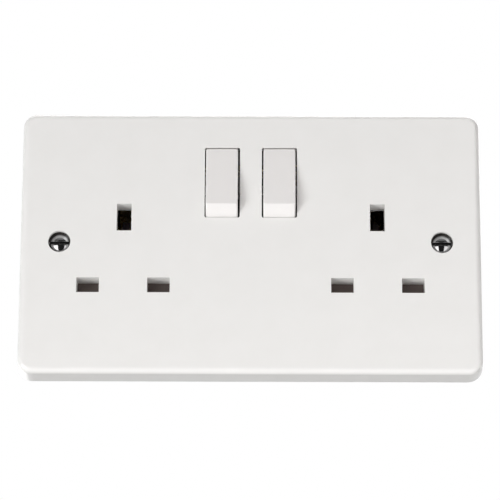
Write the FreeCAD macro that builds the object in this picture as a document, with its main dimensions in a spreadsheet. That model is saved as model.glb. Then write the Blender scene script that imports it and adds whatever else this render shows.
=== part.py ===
import FreeCAD, Part
import math
import os

import Sketcher

# Twin switched socket outlet for a two gang wall box, at its real size in millimetres.
# It stands upright as on its wall: +X to the right, +Y into the wall, +Z up.
# The origin is midway between the two fixing screws, on the plane of the wall.
# Sides: -1 is the left outlet and its switch, +1 the right ones, seen from the front.

SIZES = {
    # Front plate
    "plate_width": 146.0,
    "plate_height": 86.0,
    "plate_depth": 9.6,
    "plate_corner": 4.8,
    "plate_draft": 0.5,
    "plate_edge": 1.9,
    "face_wall": 3.0,
    "side_wall": 2.6,
    "rib_wall": 1.2,
    "rib_offset": 20.0,
    # Fixing screws and their recesses
    "fixing_centres": 120.6,
    "recess_radius": 3.5,
    "recess_depth": 2.5,
    "head_radius": 3.4,
    "head_edge": 0.2,
    "head_rise": 0.95,
    "thread_radius": 1.75,
    "shank_radius": 1.55,
    "screw_hole": 2.0,
    "screw_length": 25.0,
    "boss_radius": 5.0,
    "spigot_radius": 3.1,
    "drive_slot": 0.9,
    "drive_depth": 1.1,
    # Pin apertures
    "outlet_offset": 40.0,
    "pin_offset": 11.11,
    "pin_margin": 28.84,
    "earth_rise": 22.23,
    "slot_width": 7.1,
    "slot_height": 4.8,
    "earth_width": 4.65,
    "earth_height": 8.85,
    "collar_wall": 1.2,
    # Shutters and their springs
    "shutter_setback": 7.6,
    "shutter_wall": 1.6,
    "shutter_gap": 0.3,
    "shutter_lap": 1.85,
    "shutter_side_lap": 0.77,
    "shutter_spare": 0.4,
    "web_width": 8.8,
    "ramp_width": 2.2,
    "ramp_wall": 3.4,
    "spring_radius": 1.4,
    "spring_wire": 0.4,
    "spring_turns": 6.0,
    "spring_depth": 3.2,
    "pocket_depth": 2.4,
    # Switch rockers
    "switch_offset": 9.05,
    "switch_drop": 23.42,
    "rocker_width": 10.15,
    "rocker_reach": 9.9,
    "rocker_half": 9.7,
    "rocker_tilt": 9.5,
    "rocker_gap": 0.3,
    "rocker_play": 0.5,
    "rocker_shift": 0.12,
    "rocker_wall": 1.3,
    "rocker_skirt": 5.5,
    "rocker_edge": 0.3,
    "rocker_corner": 0.6,
    "pivot_depth": 8.17,
    "window_corner": 0.5,
    "trunnion_radius": 1.5,
    "trunnion_play": 0.08,
    "cheek_wall": 1.5,
    "cheek_half": 4.6,
    # Plungers
    "plunger_radius": 2.0,
    "plunger_tip": 1.5,
    "plunger_reach": 8.0,
    "plunger_gap": 0.1,
    "sleeve_wall": 0.95,
    # Rocking contacts
    "rocking_half": 8.0,
    "rocking_wall": 1.2,
    "rocking_width": 5.5,
    "rocking_tilt": 10.0,
    "tail_width": 9.6,
    "tail_length": 2.0,
    "knife_radius": 0.5,
    "knife_play": 0.1,
    "rivet_radius": 1.6,
    "rivet_height": 0.8,
    "rivet_place": 7.0,
    "button_height": 0.7,
    "closed_gap": 0.2,
    # Brass strips and pin clips
    "strip_wall": 1.0,
    "strip_width": 4.0,
    "bar_width": 5.0,
    "level_gap": 1.8,
    "riser_offset": 19.0,
    "band_rise": 12.16,
    "clip_wall": 0.7,
    "clip_width": 6.4,
    "clip_grip": 1.85,
    "clip_mouth": 3.0,
    "clip_setback": 1.2,
    # Terminals
    "supply_offset": 13.0,
    "wire_room": 7.0,
    "earth_terminal_offset": 28.5,
    "bar_room": 0.5,
    "block_width": 8.0,
    "block_height": 9.0,
    "block_front": 2.8,
    "bore_depth": 6.0,
    "bore_radius": 2.3,
    "clamp_radius": 1.85,
    "clamp_play": 0.1,
    "clamp_head": 2.9,
    "clamp_head_height": 2.4,
    # Rear housing
    "housing_margin": 8.2,
    "post_height": 2.43,
    "housing_corner": 4.0,
    "housing_wall": 1.3,
    "floor_wall": 2.0,
    "housing_edge": 1.2,
    "post_radius": 1.6,
    "column_offset": 50.0,
    "column_margin": 4.8,
    "column_radius": 3.2,
    "assembly_radius": 1.4,
    "assembly_head": 2.8,
}

SIDES = {"left": -1, "right": 1}
VIEWS = {"front": ("XZ_Plane", -1), "side": ("YZ_Plane", 1), "top": ("XY_Plane", 1)}


class Length:
    """A size: its value now, and the expression that keeps it tied to the sheet."""

    def __init__(self, value, text):
        self.value = value
        self.text = text

    def __add__(self, other):
        other = length(other)
        return Length(self.value + other.value, f"({self.text} + {other.text})")

    def __sub__(self, other):
        other = length(other)
        return Length(self.value - other.value, f"({self.text} - {other.text})")

    def __mul__(self, other):
        other = length(other)
        return Length(self.value * other.value, f"({self.text} * {other.text})")

    def __truediv__(self, other):
        other = length(other)
        return Length(self.value / other.value, f"({self.text} / {other.text})")

    def __radd__(self, other):
        return length(other) + self

    def __rsub__(self, other):
        return length(other) - self

    def __rmul__(self, other):
        return length(other) * self

    def __neg__(self):
        return Length(-self.value, f"(0 - {self.text})")


def length(item):
    """The item as a Length; a plain number stands for itself."""
    return item if isinstance(item, Length) else Length(float(item), f"({float(item)})")


def size(alias):
    """A driving dimension, read from its cell of the sheet."""
    return Length(SIZES[alias], f"Sizes.{alias}")


def sine(degrees):
    return Length(math.sin(math.radians(degrees.value)), f"sin({degrees.text})")


def cosine(degrees):
    return Length(math.cos(math.radians(degrees.value)), f"cos({degrees.text})")


def root(area):
    return Length(math.sqrt(area.value), f"sqrt({area.text})")


class Drawing:
    """A sketch on one of a body's own planes, with every point held by lengths from the sheet."""

    def __init__(self, body, name, view, level, across=None):
        role, sign = VIEWS[view]
        self.sketch = body.newObject("Sketcher::SketchObject", name + "_profile")
        plane = next(part for part in body.Origin.OriginFeatures if part.Role == role)
        self.sketch.AttachmentSupport = (plane, "")
        self.sketch.MapMode = "FlatFace"
        self.sketch.setExpression("AttachmentOffset.Base.z", (length(level) * sign).text)
        if across is not None:
            self.sketch.setExpression("AttachmentOffset.Base.x", across.text)

    def rule(self, kind, *places):
        return self.sketch.addConstraint(Sketcher.Constraint(kind, *places))

    def hold(self, kind, *places):
        """A driving dimension: the last of the places is its length."""
        number = self.rule(kind, *places[:-1], places[-1].value)
        self.sketch.setExpression(f"Constraints[{number}]", places[-1].text)

    def pin(self, geometry, point, across, up):
        self.hold("DistanceX", -1, 1, geometry, point, length(across))
        self.hold("DistanceY", -1, 1, geometry, point, length(up))

    def outline(self, points, domes=None):
        """A closed outline through the points; domes gives, by the number of its first point,
        the height of an arc's centre, which lies on the upright axis."""
        domes = domes or {}
        points = [(length(across), length(up)) for across, up in points]
        ends = []
        for number, start in enumerate(points):
            stop = points[(number + 1) % len(points)]
            ends.append(self.edge(start, stop, domes.get(number)))
        for number, (geometry, first, last) in enumerate(ends):
            following, its_first, unused = ends[(number + 1) % len(ends)]
            self.rule("Coincident", geometry, last, following, its_first)
            self.pin(geometry, first, *points[number])

    def edge(self, start, stop, centre_height):
        """One side of an outline: the geometry's number and its end points in order."""
        first = FreeCAD.Vector(start[0].value, start[1].value, 0)
        last = FreeCAD.Vector(stop[0].value, stop[1].value, 0)
        if centre_height is None:
            return self.sketch.addGeometry(Part.LineSegment(first, last)), 1, 2
        centre = FreeCAD.Vector(0, length(centre_height).value, 0)
        angles = [math.atan2(point.y - centre.y, point.x - centre.x) for point in (first, last)]
        turn = (angles[1] - angles[0]) % (2 * math.pi)
        forwards = turn < math.pi
        low, high = angles if forwards else reversed(angles)
        circle = Part.Circle(centre, FreeCAD.Vector(0, 0, 1), (first - centre).Length)
        geometry = self.sketch.addGeometry(Part.ArcOfCircle(circle, low, high))
        self.rule("PointOnObject", geometry, 3, -2)
        return (geometry, 1, 2) if forwards else (geometry, 2, 1)

    def box(self, across, up, width, height):
        """A rectangle about its centre."""
        across, up = length(across), length(up)
        left, right = across - width / 2, across + width / 2
        low, high = up - height / 2, up + height / 2
        self.outline([(left, low), (right, low), (right, high), (left, high)])

    def span(self, left, right, low, high):
        """A rectangle between its limits."""
        self.outline([(left, low), (right, low), (right, high), (left, high)])

    def rounded(self, across, up, width, height, radius):
        """A rectangle about its centre, with round corners."""
        across, up = length(across), length(up)
        corners = ((1, 1, 0), (-1, 1, 1), (-1, -1, 2), (1, -1, 3))
        arcs = []
        for right, above, quarter in corners:
            x = across + right * (width / 2 - radius)
            y = up + above * (height / 2 - radius)
            circle = Part.Circle(FreeCAD.Vector(x.value, y.value, 0), FreeCAD.Vector(0, 0, 1), radius.value)
            start = quarter * math.pi / 2
            arc = self.sketch.addGeometry(Part.ArcOfCircle(circle, start, start + math.pi / 2))
            self.pin(arc, 3, x, y)
            self.hold("Radius", arc, radius)
            level_end, plumb_end = (1, 2) if quarter % 2 == 0 else (2, 1)
            self.rule("Horizontal", arc, 3, arc, level_end)
            self.rule("Vertical", arc, 3, arc, plumb_end)
            arcs.append(arc)
        for number, arc in enumerate(arcs):
            following = arcs[(number + 1) % 4]
            first = self.sketch.getPoint(arc, 2)
            last = self.sketch.getPoint(following, 1)
            line = self.sketch.addGeometry(Part.LineSegment(first, last))
            self.rule("Coincident", line, 1, arc, 2)
            self.rule("Coincident", line, 2, following, 1)

    def circle(self, across, up, radius):
        across, up, radius = length(across), length(up), length(radius)
        centre = FreeCAD.Vector(across.value, up.value, 0)
        ring = self.sketch.addGeometry(Part.Circle(centre, FreeCAD.Vector(0, 0, 1), radius.value))
        self.pin(ring, 3, across, up)
        self.hold("Radius", ring, radius)

    def arch(self, across, up, radius, end):
        """Two straight sides from end to a half circle about (across, up), which faces away from end."""
        across, up, end = length(across), length(up), length(end)
        away = math.pi if end.value > across.value else 0.0
        centre = FreeCAD.Vector(across.value, up.value, 0)
        circle = Part.Circle(centre, FreeCAD.Vector(0, 0, 1), radius.value)
        turned = Part.ArcOfCircle(circle, away - math.pi / 2, away + math.pi / 2)
        arc = self.sketch.addGeometry(turned)
        self.pin(arc, 3, across, up)
        self.hold("Radius", arc, radius)
        feet = []
        for point in (1, 2):
            self.rule("Vertical", arc, 3, arc, point)
            start = self.sketch.getPoint(arc, point)
            foot = FreeCAD.Vector(end.value, start.y, 0)
            side = self.sketch.addGeometry(Part.LineSegment(start, foot))
            self.rule("Coincident", side, 1, arc, point)
            self.rule("Horizontal", side)
            self.hold("DistanceX", -1, 1, side, 2, end)
            feet.append((side, foot))
        base = self.sketch.addGeometry(Part.LineSegment(feet[0][1], feet[1][1]))
        self.rule("Coincident", base, 1, feet[0][0], 2)
        self.rule("Coincident", base, 2, feet[1][0], 2)


class Piece:
    """One moulded, pressed or turned piece: a body and the steps that shape it."""

    def __init__(self, label):
        self.label = label
        self.body = doc.addObject("PartDesign::Body", label)
        self.body.Label = label

    def step(self, feature, view, name, near, far, draw, across=None):
        name = f"{self.label}_{name}"
        near, far = length(near), length(far)
        drawing = Drawing(self.body, name, view, near, across)
        draw(drawing)
        made = self.body.newObject("PartDesign::" + feature, name)
        made.Profile = drawing.sketch
        made.setExpression("Length", ((far - near) * VIEWS[view][1]).text)
        made.Reversed = feature == "Pocket"
        return made

    def add(self, view, name, near, far, draw):
        """Material from near to far. Seen from the front, near is the rear end."""
        return self.step("Pad", view, name, near, far, draw)

    def cut(self, view, name, near, far, draw):
        """A hollow from near to far, over the same stretch as add."""
        return self.step("Pocket", view, name, near, far, draw)

    def turn(self, feature, name, across, up, points, domes=None):
        """A profile of (radius, y) points turned about the line along Y through (across, up)."""
        name = f"{self.label}_{name}"
        drawing = Drawing(self.body, name, "top", up, length(across))
        drawing.outline(points, domes)
        made = self.body.newObject("PartDesign::" + feature, name)
        made.Profile = drawing.sketch
        made.ReferenceAxis = (drawing.sketch, ["V_Axis"])
        return made

    def coil(self, view, level, across, start, rise, turns):
        """A helical spring about the view's upright line, from start upwards."""
        drawing = Drawing(self.body, self.label, view, level, length(across))
        drawing.circle(size("spring_radius"), start, size("spring_wire") / 2)
        made = self.body.newObject("PartDesign::AdditiveHelix", self.label + "_turns")
        made.Profile = drawing.sketch
        made.ReferenceAxis = (drawing.sketch, ["V_Axis"])
        made.Mode = "height-turns-angle"
        made.setExpression("Height", length(rise).text)
        made.setExpression("Turns", length(turns).text)

    def fillet(self, name, radius, chosen):
        """Round the edges of the tip that chosen(edge) accepts."""
        doc.recompute()
        base = self.body.Tip
        edges = [f"Edge{n}" for n, edge in enumerate(base.Shape.Edges, 1) if chosen(edge)]
        made = self.body.newObject("PartDesign::Fillet", f"{self.label}_{name}")
        made.Base = (base, edges)
        made.setExpression("Radius", length(radius).text)

    def place(self, x, y, z, tilt):
        """Set the piece down with its own origin at (x, y, z), tilted about X."""
        turned = FreeCAD.Rotation(FreeCAD.Vector(1, 0, 0), tilt.value)
        self.body.Placement = FreeCAD.Placement(FreeCAD.Vector(x.value, y.value, z.value), turned)
        for axis, place in (("x", x), ("y", y), ("z", z)):
            self.body.setExpression(f"Placement.Base.{axis}", place.text)
        self.body.setExpression("Placement.Rotation.Angle", tilt.text)


def flat_edge(edge, axis, place):
    """Whether the whole edge lies on the plane where its coordinate along the axis is place."""
    box = edge.BoundBox
    low, high = (getattr(box, axis + "Min"), getattr(box, axis + "Max"))
    return abs(low - place) < 1e-4 and abs(high - place) < 1e-4


def round_edge(edge, radius):
    """Whether the edge is an arc of this radius."""
    return isinstance(edge.Curve, Part.Circle) and abs(edge.Curve.Radius - radius.value) < 1e-4


# Depths, along Y
face = -size("plate_depth")
inner_face = face + size("face_wall")
shutter_front = face + size("shutter_setback")
shutter_back = shutter_front + size("shutter_wall")
collar_back = shutter_front - size("shutter_gap")
chamber_front = shutter_back + 2 * size("shutter_gap")
seat = length(0)
pivot_y = face + size("pivot_depth")
knife_y = pivot_y + size("plunger_reach") + size("plunger_gap") + size("rocking_wall")
rivet_y = (knife_y + size("rivet_height") * cosine(size("rocking_tilt"))
           + size("rivet_place") * sine(size("rocking_tilt")))
button_front = rivet_y + size("closed_gap")
line_front = button_front + size("button_height")
line_back = line_front + size("strip_wall")
bar_front = line_back + size("level_gap")
bar_back = bar_front + size("strip_wall")
floor_front = bar_back + size("post_height")
housing_back = floor_front + size("floor_wall")
clip_front = shutter_back + size("clip_setback")

# Heights, along Z
pin_row = size("pin_margin") - size("plate_height") / 2
earth_row = pin_row + size("earth_rise")
pivot_z = size("plate_height") / 2 - size("switch_drop")
rivet_z = (pivot_z + size("rivet_place") * cosine(size("rocking_tilt"))
           - size("rivet_height") * sine(size("rocking_tilt")))
band_z = pin_row + size("band_rise")
housing_height = size("plate_height") - 2 * size("housing_margin")
inside_height = housing_height / 2 - size("housing_wall")
supply_z = size("wire_room") + size("block_height") / 2 - inside_height
earth_terminal_z = inside_height - size("bar_room") - size("strip_width") - size("block_height") / 2
finger_low = pin_row - size("slot_height") / 2 - size("shutter_lap")
finger_high = pin_row + size("slot_height") / 2 + size("shutter_lap")
shutter_travel = size("slot_height") + size("shutter_lap") + size("shutter_spare")

# Widths, along X
window_width = size("rocker_width") + 2 * size("rocker_play")
finger_half = size("pin_offset") + size("slot_width") / 2 + size("shutter_side_lap")
housing_width = 2 * (size("outlet_offset") + finger_half + size("shutter_gap") + size("housing_wall"))

# The rocker's ends and the window's are cylinders about the pivot, so their gap stays even
rocker_radius = root(size("rocker_half") * size("rocker_half") + size("rocker_reach") * size("rocker_reach"))
window_radius = rocker_radius + size("rocker_gap")


def outlet_x(side):
    return side * size("outlet_offset")


def line_x(side):
    return outlet_x(side) + size("pin_offset")


def neutral_x(side):
    return outlet_x(side) - size("pin_offset")


def switch_x(side):
    return side * size("switch_offset")


def rocker_x(side):
    """The left rocker has taken up some of its side play."""
    return switch_x(side) - (size("rocker_shift") if side < 0 else 0)


def fixing_x(side):
    return side * size("fixing_centres") / 2


def column_places():
    rise = housing_height / 2 - size("column_margin")
    return [(right * size("column_offset"), above * rise)
            for right in (-1, 1) for above in (-1, 1)]


def pin_places():
    return [(place(side), pin_row) for side in SIDES.values() for place in (line_x, neutral_x)]


def make_front_plate():
    """The moulded plate: a shallow draughted box with its windows, apertures and bosses."""
    plate = Piece("front_plate")
    rim = plate.add("front", "shell", 0, face, lambda s: s.rounded(
        0, 0, size("plate_width"), size("plate_height"), size("plate_corner")))
    rim.setExpression("TaperAngle", f"atan({(-size('plate_draft') / size('plate_depth')).text})")
    plate.fillet("edge", size("plate_edge"), lambda edge: flat_edge(edge, "Y", face.value))
    plate.cut("front", "hollow", 0, inner_face, lambda s: s.rounded(
        0, 0, size("plate_width") - 2 * size("side_wall"), size("plate_height") - 2 * size("side_wall"),
        size("plate_corner") - size("side_wall") / 2))
    for name, side in SIDES.items():
        plate.cut("side", f"window_{name}", switch_x(side) - window_width / 2,
                  switch_x(side) + window_width / 2,
                  lambda s: s.circle(pivot_y, pivot_z, window_radius))
    plate.fillet("window_corners", size("window_corner"), lambda edge: round_edge(edge, window_radius))

    def seat_ring(s):
        for inset in (0, 1):
            s.rounded(0, 0, housing_width - 2 * inset * size("housing_wall"),
                      housing_height - 2 * inset * size("housing_wall"),
                      size("housing_corner") - inset * size("housing_wall"))

    plate.add("front", "seat_ring", seat, inner_face, seat_ring)

    def collars(s):
        for x, z in pin_places():
            s.box(x, z, size("slot_width") + 2 * size("collar_wall"),
                  size("slot_height") + 2 * size("collar_wall"))
        for side in SIDES.values():
            s.box(outlet_x(side), earth_row, size("earth_width") + 2 * size("collar_wall"),
                  size("earth_height") + 2 * size("collar_wall"))

    plate.add("front", "collars", collar_back, inner_face, collars)

    def inner_guides(s):
        for side in SIDES.values():
            edge = outlet_x(side) - side * (finger_half + size("shutter_gap"))
            s.box(edge - side * size("rib_wall") / 2, (finger_low + finger_high - shutter_travel) / 2,
                  size("rib_wall"), finger_high - finger_low + shutter_travel + 2 * size("rib_wall"))

    plate.add("front", "shutter_guides", shutter_back - size("shutter_gap"), inner_face, inner_guides)

    def cheeks(s):
        for side in SIDES.values():
            for hand in (-1, 1):
                s.box(switch_x(side) + hand * (window_width + size("cheek_wall")) / 2, pivot_z,
                      size("cheek_wall"), 2 * size("cheek_half"))

    plate.add("front", "cheeks", 0, inner_face, cheeks)
    reach = size("switch_offset") + window_width / 2 + size("cheek_wall") + size("rib_wall") / 2
    plate.cut("side", "trunnion_slots", -reach, reach, lambda s: s.arch(
        pivot_y, pivot_z, size("trunnion_radius") + size("trunnion_play"), 1))

    def assembly_bosses(s):
        for x, z in column_places():
            s.circle(x, z, size("column_radius"))

    plate.add("front", "assembly_bosses", seat, inner_face, assembly_bosses)

    def ribs(s):
        long_gap = (size("plate_width") / 2 - size("side_wall") - housing_width / 2)
        tall_gap = (size("plate_height") / 2 - size("side_wall") - housing_height / 2)
        for hand in (-1, 1):
            for place in (-2, -1, 1, 2):
                s.box(place * size("rib_offset"), hand * (housing_height + tall_gap) / 2,
                      size("rib_wall"), tall_gap)
            for place in (-1, 1):
                s.box(hand * (housing_width + long_gap) / 2, place * size("rib_offset"),
                      long_gap, size("rib_wall"))

    plate.add("front", "ribs", seat - size("rib_wall"), inner_face, ribs)

    def fixing_bosses(s):
        for side in SIDES.values():
            s.circle(fixing_x(side), 0, size("boss_radius"))

    plate.add("front", "fixing_bosses", face + size("boss_radius"), inner_face, fixing_bosses)

    def fixing_spigots(s):
        for side in SIDES.values():
            s.circle(fixing_x(side), 0, size("spigot_radius"))

    plate.add("front", "fixing_spigots", 0, inner_face, fixing_spigots)

    def apertures(s):
        for x, z in pin_places():
            s.box(x, z, size("slot_width"), size("slot_height"))
        for side in SIDES.values():
            s.box(outlet_x(side), earth_row, size("earth_width"), size("earth_height"))

    plate.cut("front", "apertures", 0, face, apertures)
    cone_top = face + size("recess_depth")
    cone_foot = cone_top + size("recess_radius") - size("screw_hole")
    for name, side in SIDES.items():
        plate.turn("Groove", f"recess_{name}", fixing_x(side), 0, [
            (0, face - 1), (size("recess_radius"), face - 1), (size("recess_radius"), cone_top),
            (size("screw_hole"), cone_foot), (size("screw_hole"), 1), (0, 1)])

    def pilot_holes(s):
        for x, z in column_places():
            s.circle(x, z, size("assembly_radius") + size("clamp_play") / 2)

    plate.cut("front", "pilot_holes", seat, inner_face, pilot_holes)


def make_fixing_screw(name, side):
    """A raised countersunk machine screw: domed head, rolled thread wider than its plain shank."""
    screw = Piece(f"fixing_screw_{name}")
    play = size("recess_radius") - size("head_radius")
    rim = face + size("recess_depth") + play / 2
    neck = rim + size("head_radius") - size("shank_radius")
    tip = rim + size("screw_length")
    crown = rim - size("head_edge")
    dome = size("head_rise")
    sphere = (size("head_radius") * size("head_radius") + dome * dome) / (2 * dome)
    chamfer = size("thread_radius") / 3
    screw.turn("Revolution", "turned", fixing_x(side), 0, [
        (0, crown - dome), (size("head_radius"), crown), (size("head_radius"), rim),
        (size("shank_radius"), neck),
        (size("shank_radius"), 0), (size("thread_radius"), 0), (size("thread_radius"), tip - chamfer),
        (size("thread_radius") - chamfer, tip), (0, tip)], {0: crown - dome + sphere})
    screw.cut("front", "slot", crown - dome + size("drive_depth"), crown - dome - 1, lambda s: s.box(
        fixing_x(side), 0, 3 * size("head_radius"), size("drive_slot")))


def make_shutter(name, side):
    """The sprung shutter: two fingers behind the pin row, and a ramp that the earth pin drives down."""
    shutter = Piece(f"shutter_{name}")
    middle = outlet_x(side)
    web = size("web_width") / 2
    web_top = earth_row - size("earth_height") / 2
    shutter.add("front", "fingers", shutter_back, shutter_front, lambda s: s.outline([
        (middle - finger_half, finger_low), (middle + finger_half, finger_low),
        (middle + finger_half, finger_high), (middle + web, finger_high),
        (middle + web, web_top), (middle - web, web_top),
        (middle - web, finger_high), (middle - finger_half, finger_high)]))
    ramp_back = shutter_front + shutter_travel
    half = size("ramp_width") / 2
    shutter.add("side", "ramp", middle - half, middle + half, lambda s: s.outline([
        (shutter_front, web_top), (ramp_back, web_top + shutter_travel),
        (ramp_back, web_top + shutter_travel - size("ramp_wall")),
        (shutter_back, web_top + size("shutter_wall") - size("ramp_wall")),
        (shutter_front, web_top + size("shutter_wall") - size("ramp_wall"))]))
    boss_back = shutter_back + size("spring_depth") + size("spring_wire")
    boss_half = size("spring_radius") + size("spring_wire") / 2 + size("shutter_gap") + size("spring_wire")
    pocket = size("spring_radius") + size("spring_wire") / 2 + size("shutter_gap")
    spring_y = spring_axis_y()
    shutter.add("front", "spring_boss", boss_back, shutter_back, lambda s: s.span(
        middle - boss_half, middle + boss_half, finger_low, finger_low + 2 * size("pocket_depth")))
    shutter.cut("top", "spring_pocket", finger_low, finger_low + size("pocket_depth"),
                lambda s: s.circle(middle, spring_y, pocket))


def spring_axis_y():
    return shutter_back + size("spring_depth") / 2


def seat_top_z():
    """The height of the shutter spring's lower seat, inside the housing's bottom wall."""
    return size("floor_wall") - inside_height


def make_shutter_spring(name, side):
    spring = Piece(f"shutter_spring_{name}")
    start = seat_top_z() + size("spring_wire") / 2 + size("closed_gap") / 2
    stop = finger_low + size("pocket_depth") - size("spring_wire") / 2 - size("closed_gap") / 2
    spring.coil("front", spring_axis_y(), outlet_x(side), start, stop - start, size("spring_turns"))


def make_rocker(name, side):
    """The rocker, drawn about its pivot with its face square to Y, then tilted to off."""
    rocker = Piece(f"rocker_{name}")
    half_width = size("rocker_width") / 2
    wall = size("rocker_wall")
    top = -size("rocker_reach")
    skirt = -size("rocker_skirt")
    roof = top + wall

    def section(s):
        end = root(rocker_radius * rocker_radius - skirt * skirt).value
        points = [(top.value, -size("rocker_half").value), (top.value, size("rocker_half").value),
                  (skirt.value, end), (skirt.value, -end)]
        vectors = [FreeCAD.Vector(y, z, 0) for y, z in points]
        circle = Part.Circle(FreeCAD.Vector(0, 0, 0), FreeCAD.Vector(0, 0, 1), rocker_radius.value)
        angles = [math.atan2(point.y, point.x) for point in vectors]
        face_line = s.sketch.addGeometry(Part.LineSegment(vectors[0], vectors[1]))
        upper = s.sketch.addGeometry(Part.ArcOfCircle(circle, angles[2], angles[1]))
        foot_line = s.sketch.addGeometry(Part.LineSegment(vectors[2], vectors[3]))
        lower = s.sketch.addGeometry(Part.ArcOfCircle(circle, angles[0], angles[3]))
        for joint in ((face_line, 2, upper, 2), (upper, 1, foot_line, 1),
                      (foot_line, 2, lower, 2), (lower, 1, face_line, 1)):
            s.rule("Coincident", *joint)
        for arc in (upper, lower):
            s.rule("Coincident", arc, 3, -1, 1)
        s.pin(face_line, 1, top, -size("rocker_half"))
        s.pin(face_line, 2, top, size("rocker_half"))
        s.hold("DistanceX", -1, 1, foot_line, 1, skirt)
        s.hold("DistanceX", -1, 1, foot_line, 2, skirt)

    rocker.add("side", "key", -half_width, half_width, section)
    rocker.fillet("corners", size("rocker_corner"), lambda edge: round_edge(edge, rocker_radius))
    rocker.fillet("edge", size("rocker_edge"), lambda edge: flat_edge(edge, "Y", top.value))
    rocker.cut("front", "hollow", skirt, roof, lambda s: s.box(
        0, 0, 2 * (half_width - wall), 2 * (size("rocker_half") - wall / 4)))
    for hand, word in ((-1, "left"), (1, "right")):
        outer, inner = hand * half_width, hand * (half_width - wall)
        low, high = (outer, inner) if hand < 0 else (inner, outer)
        rocker.add("side", f"lug_{word}", low, high, lambda s: s.arch(
            0, 0, size("trunnion_radius") + wall, roof))
        tip = hand * (half_width + size("rocker_play") + size("cheek_wall") * 3 / 4)
        low, high = (tip, outer) if hand < 0 else (outer, tip)
        rocker.add("side", f"trunnion_{word}", low, high,
                   lambda s: s.circle(0, 0, size("trunnion_radius")))
    bore = size("plunger_radius") + size("trunnion_play")
    rocker.add("front", "sleeve", 0, roof, lambda s: s.circle(0, 0, bore + size("sleeve_wall")))
    rocker.cut("front", "bore", 0, roof + size("sleeve_wall"), lambda s: s.circle(0, 0, bore))
    rocker.place(rocker_x(side), pivot_y, pivot_z, -size("rocker_tilt"))


def make_plunger(name, side):
    """The bullet that the rocker drives across the rocking contact."""
    plunger = Piece(f"plunger_{name}")
    radius, tip = size("plunger_radius"), size("plunger_tip")
    centre = size("plunger_reach") - tip
    plunger.turn("Revolution", "turned", 0, 0, [
        (0, -size("rocker_skirt") / 2), (radius, -size("rocker_skirt") / 2), (radius, radius / 2),
        (tip, radius / 2 + radius - tip), (tip, centre), (0, size("plunger_reach"))], {4: centre})
    plunger.place(rocker_x(side), pivot_y, pivot_z, -size("rocker_tilt"))


def make_plunger_spring(name, side):
    spring = Piece(f"plunger_spring_{name}")
    wire = size("spring_wire")
    roof = -size("rocker_reach") + size("rocker_wall") + size("sleeve_wall")
    start = roof + wire / 2 + size("closed_gap") / 2
    stop = -size("rocker_skirt") / 2 - wire / 2 - size("closed_gap") / 2
    spring.coil("top", 0, 0, start, stop - start, size("spring_turns") / 2)
    spring.place(rocker_x(side), pivot_y, pivot_z, -size("rocker_tilt"))


def make_rocking_contact(name, side):
    """The brass contact that rocks on its knife edge, drawn flat and then tilted to off."""
    contact = Piece(f"rocking_contact_{name}")
    half, width = size("rocking_half"), size("rocking_width") / 2
    tail = size("tail_width") / 2
    contact.add("front", "blade", 0, -size("rocking_wall"), lambda s: s.outline([
        (-tail, -half), (tail, -half), (tail, -half + size("tail_length")),
        (width, -half + size("tail_length")), (width, half), (-width, half),
        (-width, -half + size("tail_length")), (-tail, -half + size("tail_length"))]))
    contact.cut("side", "seat", -tail, tail, lambda s: s.circle(
        0, 0, size("knife_radius") + size("knife_play")))
    dome = size("rivet_height") / 2
    contact.turn("Revolution", "rivet", 0, size("rivet_place"), [
        (0, -dome), (size("rivet_radius"), -dome), (size("rivet_radius"), dome),
        (0, size("rivet_height"))],
        {2: size("rivet_height") - (size("rivet_radius") * size("rivet_radius") + dome * dome) / (2 * dome)})
    contact.place(switch_x(side), knife_y, pivot_z, size("rocking_tilt"))


def add_clip(piece, name, x, z, root_y, tip_y, view):
    """Two sprung leaves that grip a pin from both sides, bent from the strip they stand on."""
    grip, mouth, wall = size("clip_grip"), size("clip_mouth"), size("clip_wall")
    across = z if view == "side" else x
    along = x if view == "side" else z
    throat = tip_y + (root_y - tip_y) / 3
    for hand, word in ((-1, "a"), (1, "b")):
        piece.add(view, f"{name}_leaf_{word}", along - size("clip_width") / 2,
                  along + size("clip_width") / 2, lambda s: leaf_outline(
                      s, hand, across, root_y, throat, tip_y, grip, mouth, wall, view))


def leaf_outline(s, hand, across, root_y, throat, tip_y, grip, mouth, wall, view):
    """One leaf: it leans in from its root to the throat and flares out at its tip."""
    inner = [(root_y, mouth - wall / 4), (throat + wall, grip), (throat - wall, grip), (tip_y, mouth)]
    outer = [(y, gap + wall) for y, gap in reversed(inner)]
    points = [(y, across + hand * gap) for y, gap in inner + outer]
    if view == "top":
        points = [(place, y) for y, place in points]
    s.outline(points)


def make_line_contact(name, side):
    """The strip from an outlet's line clip round to the fixed contact of its switch."""
    contact = Piece(f"line_contact_{name}")
    x, half = line_x(side), size("strip_width") / 2
    pad = size("clip_width") / 2
    foot = size("clip_mouth") + size("clip_wall") / 2
    riser = side * size("riser_offset")
    end = switch_x(side) - side * half
    contact.add("front", "strip", line_back, line_front, lambda s: s.outline([
        (x - side * pad, pin_row - foot), (x + side * pad, pin_row - foot),
        (x + side * pad, pin_row + foot), (x + side * half, pin_row + foot),
        (x + side * half, band_z + half), (riser + side * half, band_z + half),
        (riser + side * half, rivet_z + half), (end, rivet_z + half),
        (end, rivet_z - half), (riser - side * half, rivet_z - half),
        (riser - side * half, band_z - half), (x - side * half, band_z - half),
        (x - side * half, pin_row + foot), (x - side * pad, pin_row + foot)]))
    add_clip(contact, "clip", x, pin_row, line_front, clip_front, "side")
    contact.add("front", "button", line_front, button_front,
                lambda s: s.circle(switch_x(side), rivet_z, size("rivet_radius")))


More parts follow.
